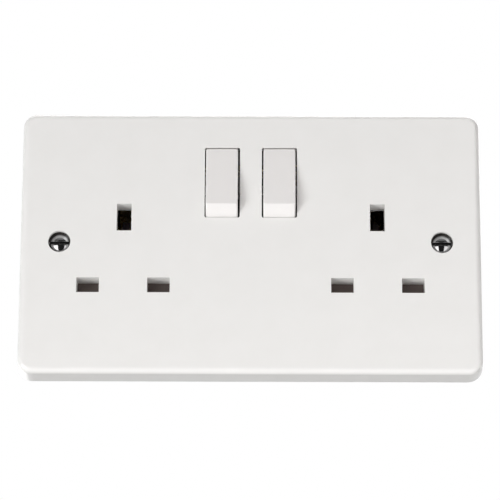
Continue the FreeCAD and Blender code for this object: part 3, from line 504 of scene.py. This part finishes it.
@dataclass
class FixingScrew:
    """One raised countersunk fixing screw, slotted and chromed, with a rolled thread.

    The slot runs along X. The counts say into how many points a curve is cut.
    """

    side: Side
    head_radius: float = 3.4
    head_edge: float = 0.2
    rise: float = 0.95
    slot_half: float = 0.45
    slot_depth: float = 1.1
    edge: float = 0.09
    shank_radius: float = 1.55
    thread_radius: float = 1.75
    root_radius: float = 1.38
    pitch: float = 0.6
    crest_until: float = 0.16
    root_from: float = 0.82
    tip_chamfer: float = 0.583
    columns: int = 33
    dome_rows: int = 20
    lip_rows: int = 5
    floor_rows: int = 5
    rim_loops: int = 6
    pitch_loops: int = 10
    sharp: float = 38
    centre: Pair = field(init=False)
    top: float = field(init=False)
    tip: float = field(init=False)

    def __post_init__(self) -> None:
        """Takes the screw's place from its CAD node."""
        low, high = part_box(self.node)
        self.centre = ((low.x + high.x) / 2 / MM, (low.z + high.z) / 2 / MM)
        self.top, self.tip = low.y / MM, high.y / MM

    @property
    def node(self) -> str:
        """Name of the CAD node that the screw stands for."""
        return f"fixing_screw_{self.side.value}"

    @property
    def sphere(self) -> float:
        """Radius of the sphere that the dome is cut from."""
        return (self.head_radius**2 + self.rise**2) / (2 * self.rise)

    @property
    def inner(self) -> float:
        """Radius at which the rounding of the rim starts."""
        return self.head_radius - self.edge

    @property
    def floor(self) -> float:
        """Depth of the slot's floor."""
        return self.top + self.slot_depth

    def dome(self, x: np.ndarray, z: np.ndarray) -> np.ndarray:
        """Height of the dome over its plane: a sphere, rounded off along both lips of the slot.

        Args:
            x: Distances from the axis along the slot.
            z: Distances from the axis across it.

        Returns:
            The y of each point.
        """
        sphere = self.top + self.sphere - np.sqrt(self.sphere**2 - x**2 - z**2)
        inward = np.clip(self.slot_half + self.edge - np.abs(z), 0, self.edge)
        return sphere + self.edge - np.sqrt(self.edge**2 - inward**2)

    def rows(self) -> tuple[np.ndarray, np.ndarray]:
        """Heights at which the head is cut into rows, doubled at the walls of the slot.

        Over the lip they go with the cosine of its rounding, and over the dome with the sine of
        the angle round the rim, so that both curves get even steps.

        Returns:
            The heights over the axis, and which of them lie on the slot's floor.
        """
        lip = self.slot_half + self.edge * (1 - np.cos(np.linspace(0, math.pi / 2, self.lip_rows)))
        first = math.asin(lip[-1] / self.inner)
        over_dome = self.inner * np.sin(np.linspace(first, math.pi / 2, self.dome_rows))
        upper = np.concatenate((lip[:-1], over_dome))
        floor = np.linspace(-self.slot_half, self.slot_half, self.floor_rows)
        heights = np.concatenate((-upper[::-1], floor, upper))
        on_floor = np.zeros(len(heights), bool)
        on_floor[len(upper):len(upper) + len(floor)] = True
        return heights, on_floor

    def face(self) -> np.ndarray:
        """Front of the head: each row spans the chord of the head's circle at its height.

        A row's depth is that of the dome, or of the floor where it lies in the slot.

        Returns:
            The points, rows by columns by 3.
        """
        heights, on_floor = self.rows()
        chord = np.sqrt(np.clip(self.inner**2 - heights**2, 0, None))
        x = chord[:, None] * np.linspace(-1, 1, self.columns)[None, :]
        z = np.repeat(heights[:, None], self.columns, axis=1)
        y = np.where(on_floor[:, None], self.floor, self.dome(x, z))
        return self.placed(x, y, z)

    def thread(self, depth: np.ndarray, turn: np.ndarray) -> np.ndarray:
        """Radius of the thread: a flat crest and root joined by straight flanks, wound as a helix.

        Crest and root part from the shank over the first pitch, and a cone of 45 degrees cuts
        both at the tip. Between them the radius falls evenly with the distance from the crest's
        middle, which is counted in half pitches.

        Args:
            depth: Depth of each loop.
            turn: Angle of each column round the axis, in turns.

        Returns:
            The radius at each loop and column.
        """
        start = np.clip(depth / self.pitch, 0, 1)
        crest = self.shank_radius + (self.thread_radius - self.shank_radius) * start
        crest = np.minimum(crest, self.thread_radius - self.tip_chamfer + (self.tip - depth))
        root = np.minimum(self.root_radius, crest)
        root = np.minimum(self.shank_radius + (root - self.shank_radius) * start, crest)
        away = np.abs(2 * np.mod(depth[:, None] / self.pitch - turn[None, :], 1.0) - 1)
        share = np.clip((self.root_from - away) / (self.root_from - self.crest_until), 0, 1)
        return root[:, None] + (crest - root)[:, None] * share

    def body(self) -> np.ndarray:
        """Everything behind the face: loops round the axis with one column for each row's end.

        The first loops round the rim off as a quarter circle, where the slot stays open. Then
        come the head's side, its cone of 45 degrees, the shank, the thread and the closed tip.

        Returns:
            The points, loops by columns by 3.
        """
        heights, on_floor = self.rows()
        half_turn = np.arcsin(np.clip(heights / self.inner, -1, 1))
        angle = np.concatenate((half_turn, math.pi - half_turn[::-1]))
        in_slot = np.concatenate((on_floor, on_floor[::-1]))

        bend = np.linspace(0, math.pi / 2, self.rim_loops)[:, None]
        lip = self.dome(self.inner * np.cos(angle), self.inner * np.sin(angle))
        corner_y = np.where(in_slot, self.floor, lip + self.edge * (1 - np.cos(bend)))
        corner_r = self.inner + self.edge * np.sin(bend) + np.zeros_like(corner_y)

        rim = self.top + self.rise + self.head_edge
        neck = rim + self.head_radius - self.shank_radius
        side_r = np.array([self.head_radius] * 2 + [self.shank_radius] * 3)[:, None] + np.zeros_like(angle)
        side_y = np.array([self.floor, rim, neck, neck / 2, 0.0])[:, None] + np.zeros_like(angle)

        steps = round(self.tip / self.pitch * self.pitch_loops)
        depth = np.linspace(0, self.tip, steps + 1)[1:]
        thread_r = self.thread(depth, angle / (2 * math.pi))
        thread_y = depth[:, None] + np.zeros_like(thread_r)

        end = np.zeros_like(angle)[None, :]
        radius = np.concatenate((corner_r, side_r, thread_r, end))
        y = np.concatenate((corner_y, side_y, thread_y, end + self.tip))
        return self.placed(radius * np.cos(angle), y, radius * np.sin(angle))

    def placed(self, x: np.ndarray, y: np.ndarray, z: np.ndarray) -> np.ndarray:
        """Moves points, given about the screw's axis, to its place and puts their coordinates last."""
        return np.stack((x + self.centre[0], y, z + self.centre[1]), axis=-1)

    def build(self) -> bpy.types.Object:
        """Makes the screw from its face and its body, and dresses it.

        Returns:
            The piece, which stands for the CAD node.
        """
        surface = Surface(f"turned_{self.node}")
        surface.grid(self.face())
        surface.grid(self.body().transpose(1, 0, 2))
        made = surface.build(self.sharp)
        made.data.materials.append(FINISHES.of(CHROME))
        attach(made, "base")
        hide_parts(self.node)
        return made


@dataclass
class Casing:
    """The front plate and the rear housing, with the four screws that hold them together."""

    plate: str = "front_plate"
    housing: str = "rear_housing"
    screws: str = "assembly_screws"

    def dress(self) -> None:
        """Gives the casing its finishes."""
        FINISHES.dress(PLATE, self.plate)
        FINISHES.dress(BASE, self.housing)
        FINISHES.dress(STEEL, self.screws)


@dataclass
class Switch:
    """One rocker switch: rocker, plunger, spring, rocking contact and line contact."""

    side: Side

    def dress(self) -> None:
        """Gives the switch's pieces their finishes."""
        name = self.side.value
        FINISHES.dress(ROCKER, f"rocker_{name}")
        FINISHES.dress(PLUNGER, f"plunger_{name}")
        FINISHES.dress(SPRING, f"plunger_spring_{name}")
        FINISHES.dress(CONTACT, f"rocking_contact_{name}", f"line_contact_{name}")


@dataclass
class Shutter:
    """One sprung shutter behind the pin apertures."""

    side: Side
    spring_end: float = -31.4
    pressed: float = 0.54

    def dress(self) -> None:
        """Gives the shutter and its spring their finishes."""
        FINISHES.dress(SHUTTER, f"shutter_{self.side.value}")
        FINISHES.dress(SPRING, f"shutter_spring_{self.side.value}")

    def press(self) -> None:
        """Gives the spring a mesh of its own; its shape is left as it is."""
        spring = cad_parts[f"shutter_spring_{self.side.value}"]
        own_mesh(spring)


@dataclass
class Wiring:
    """The brass bars, the terminals and their clamp screws."""

    bars: tuple[str, ...] = ("line_bar", "neutral_bar", "earth_bar")
    places: tuple[str, ...] = ("line", "neutral", "earth_left", "earth_right")

    def dress(self) -> None:
        """Gives the wiring its finishes."""
        FINISHES.dress(CONTACT, *self.bars)
        FINISHES.dress(TERMINAL, *(f"{place}_terminal" for place in self.places))
        FINISHES.dress(STEEL, *(f"{place}_clamp_screw" for place in self.places))


@dataclass(frozen=True)
class Softbox:
    """A rectangular lamp aimed at the object. Azimuth 0 is straight in front, and 90 to the right.

    A lamp that isn't mirrored lights the object but doesn't show in its shiny parts.
    """

    name: str
    azimuth: float
    elevation: float
    distance: float
    width: float
    height: float
    radiance: float
    tint: Colour = (0.985, 0.968, 0.958)
    mirrored: bool = True

    def place(self) -> None:
        """Hangs the lamp. Its power is radiance times area times pi."""
        turn, lift = math.radians(self.azimuth), math.radians(self.elevation)
        away = Vector((math.sin(turn) * math.cos(lift), -math.cos(turn) * math.cos(lift), math.sin(lift)))
        light = bpy.data.lights.new(self.name, "AREA")
        light.shape = "RECTANGLE"
        light.size, light.size_y = self.width, self.height
        light.energy = self.radiance * math.pi * self.width * self.height
        light.color = self.tint
        lamp = bpy.data.objects.new(self.name, light)
        lamp.location = away * self.distance
        lamp.rotation_euler = (-away).to_track_quat("-Z", "Y").to_euler()
        lamp.visible_camera = False
        lamp.visible_glossy = self.mirrored
        bpy.context.scene.collection.objects.link(lamp)


@dataclass
class Studio:
    """A white background, soft lamps, a pale floor far below and the photograph's camera.

    The room is the dim surroundings in front of the object, which its shiny parts mirror.
    """

    ambient: float = 0.06
    room_radius: float = 4.5
    room_turn: Pair = (-95, 95)
    room_lift: Pair = (-80, 88)
    room_columns: int = 65
    room_rows: int = 49
    room_level: float = 0.02
    room_top: float = 0.3
    room_split: float = 2.5
    room_sharp: float = 30
    floor_level: float = -2.6
    floor_half: float = 8.0
    floor_glow: float = 0.72
    floor_rough: float = 0.8
    floor_cloud: float = 0.06
    floor_shades: Pair = (0.86, 0.84)
    camera_distance: float = 0.902
    pitch: float = 16.56
    yaw: float = -0.33
    roll: float = 0.26
    shift: Pair = (-0.00023, 0.00017)
    lens: float = 204.05
    sensor: float = 36.0
    lamps: tuple[Softbox, ...] = (
        Softbox("key_lamp", -50, -24, 3.2, 1.3, 1.1, 10.8, (0.985, 1.0, 1.0)),
        Softbox("left_panel", -28, -14, 3.2, 1.6, 1.9, 1.9),
        Softbox("fill_lamp", 34, -14, 1.0, 0.5, 0.6, 1.3),
        Softbox("side_lamp", 80, -5, 0.9, 0.5, 0.5, 2.4),
        Softbox("low_lamp", 10, -75, 0.4, 0.45, 0.25, 0.35),
        Softbox("high_panel", -28, 24, 3.4, 2.7, 2.2, 1.3, mirrored=False),
        Softbox("left_low_lamp", -36, -38, 0.38, 0.2, 0.18, 1.75, mirrored=False),
        Softbox("right_low_lamp", 38, -36, 0.38, 0.2, 0.18, 1.75, mirrored=False),
        Softbox("top_lamp", 180, 80, 1.0, 1.0, 0.8, 2.7),
        Softbox("rear_lamp", 160, 40, 1.0, 0.8, 0.8, 2.0),
        Softbox("rear_low_lamp", 215, -10, 1.0, 0.6, 0.6, 1.2),
    )

    def background(self) -> None:
        """White to the camera and in reflections, and a plain level for what lights the object."""
        world = bpy.data.worlds.new("studio")
        world.use_nodes = True
        tree = world.node_tree
        tree.nodes.clear()
        path = tree.nodes.new("ShaderNodeLightPath")
        seen = path.outputs["Is Camera Ray"]
        for ray in ("Is Glossy Ray", "Is Transmission Ray"):
            either = tree.nodes.new("ShaderNodeMath")
            either.operation = "MAXIMUM"
            tree.links.new(seen, either.inputs[0])
            tree.links.new(path.outputs[ray], either.inputs[1])
            seen = either.outputs[0]
        mix = tree.nodes.new("ShaderNodeMixShader")
        tree.links.new(seen, mix.inputs[0])
        for strength, target in zip((self.ambient, 1.0), mix.inputs[1:]):
            level = tree.nodes.new("ShaderNodeBackground")
            level.inputs["Color"].default_value = (1, 1, 1, 1)
            level.inputs["Strength"].default_value = strength
            tree.links.new(level.outputs[0], target)
        output = tree.nodes.new("ShaderNodeOutputWorld")
        tree.links.new(mix.outputs[0], output.inputs["Surface"])
        bpy.context.scene.world = world

    def room(self) -> None:
        """The room, as a dome that only reflections see, dim below and lighter overhead.

        Its points are a sphere's: azimuth across the columns and elevation up the rows.
        """
        turns = np.radians(np.linspace(*self.room_turn, self.room_columns))
        lifts = np.radians(np.linspace(*self.room_lift, self.room_rows))
        turn, lift = np.meshgrid(turns, lifts)
        points = np.stack((np.sin(turn) * np.cos(lift), -np.cos(turn) * np.cos(lift), np.sin(lift)), axis=-1)
        surface = Surface("room_screen")
        surface.grid(points[:, ::-1] * self.room_radius / MM)
        screen = surface.build(self.room_sharp)
        graph = Graph("room_screen")
        emission = graph.node("ShaderNodeEmission")
        overhead = graph.above("Z", self.room_split / MM, self.room_split / MM)
        shade = graph.spread(overhead, 0.0, 1.0)
        level = graph.blend(shade, (self.room_level,) * 3, (self.room_top,) * 3)
        graph.link(level, emission.inputs["Color"])
        graph.link(emission.outputs[0], graph.output.inputs["Surface"])
        graph.material.cycles.emission_sampling = "NONE"
        screen.data.materials.append(graph.material)
        screen.visible_camera = False
        screen.visible_diffuse = False
        screen.visible_transmission = False
        screen.visible_shadow = False

    def floor(self) -> None:
        """A floor far below the object: pale to the camera, plain to the light, clear from below."""
        mesh = bpy.data.meshes.new("floor")
        half = self.floor_half
        corners = [(-half, -half), (half, -half), (half, half), (-half, half)]
        mesh.from_pydata([(x, y, self.floor_level) for x, y in corners], [], [(0, 1, 2, 3)])
        floor = bpy.data.objects.new("floor", mesh)
        bpy.context.scene.collection.objects.link(floor)
        graph = Graph("floor")
        shader = graph.shader
        cloud = graph.spread(graph.noise(self.floor_cloud / MM, detail=2.0), 0.0, 1.0)
        pale, dull = ((shade,) * 3 for shade in self.floor_shades)
        graph.link(graph.blend(cloud, pale, dull), shader.inputs["Base Color"])
        shader.inputs["Roughness"].default_value = self.floor_rough
        shader.inputs["Emission Color"].default_value = (1.0, 1.0, 1.0, 1.0)
        glow = graph.node("ShaderNodeMath", operation="MULTIPLY")
        glow.inputs[1].default_value = self.floor_glow
        graph.link(graph.node("ShaderNodeLightPath").outputs["Is Camera Ray"], glow.inputs[0])
        graph.link(glow.outputs[0], shader.inputs["Emission Strength"])
        mix = graph.node("ShaderNodeMixShader")
        graph.link(graph.node("ShaderNodeNewGeometry").outputs["Backfacing"], mix.inputs[0])
        graph.link(shader.outputs[0], mix.inputs[1])
        graph.link(graph.node("ShaderNodeBsdfTransparent").outputs[0], mix.inputs[2])
        graph.link(mix.outputs[0], graph.output.inputs["Surface"])
        mesh.materials.append(graph.material)

    def camera(self) -> None:
        """Stands the camera in front of the object and below it, as in the photograph."""
        pitch, yaw, roll = (math.radians(angle) for angle in (self.pitch, self.yaw, self.roll))
        ahead = Vector((math.sin(yaw) * math.cos(pitch), math.cos(yaw) * math.cos(pitch), math.sin(pitch)))
        level = Vector((math.cos(yaw), -math.sin(yaw), 0))
        up = level.cross(ahead)
        right = level * math.cos(roll) + up * math.sin(roll)
        top = up * math.cos(roll) - level * math.sin(roll)
        lens = bpy.data.cameras.new("camera")
        lens.lens = self.lens
        lens.sensor_width = self.sensor
        camera = bpy.data.objects.new("camera", lens)
        place = Vector((self.shift[0], 0, self.shift[1])) - ahead * self.camera_distance
        turned = Matrix((right, top, -ahead)).transposed().to_4x4()
        camera.matrix_world = Matrix.Translation(place) @ turned
        bpy.context.scene.collection.objects.link(camera)
        bpy.context.scene.camera = camera

    def build(self) -> None:
        """Sets up the whole studio."""
        self.background()
        self.room()
        self.floor()
        for lamp in self.lamps:
            lamp.place()
        self.camera()
        bpy.context.scene.view_settings.view_transform = "Standard"


def main() -> None:
    """Dresses every sub-assembly, adds the screws and sets up the studio."""
    logging.basicConfig(level=logging.INFO, format="%(message)s")
    Casing().dress()
    Wiring().dress()
    for side in Side:
        Switch(side).dress()
        shutter = Shutter(side)
        shutter.dress()
        shutter.press()
        screw = FixingScrew(side).build()
        log.info("%s has %d triangles", screw.name, len(screw.data.polygons))
    Studio().build()


if __name__ == "__main__":
    main()
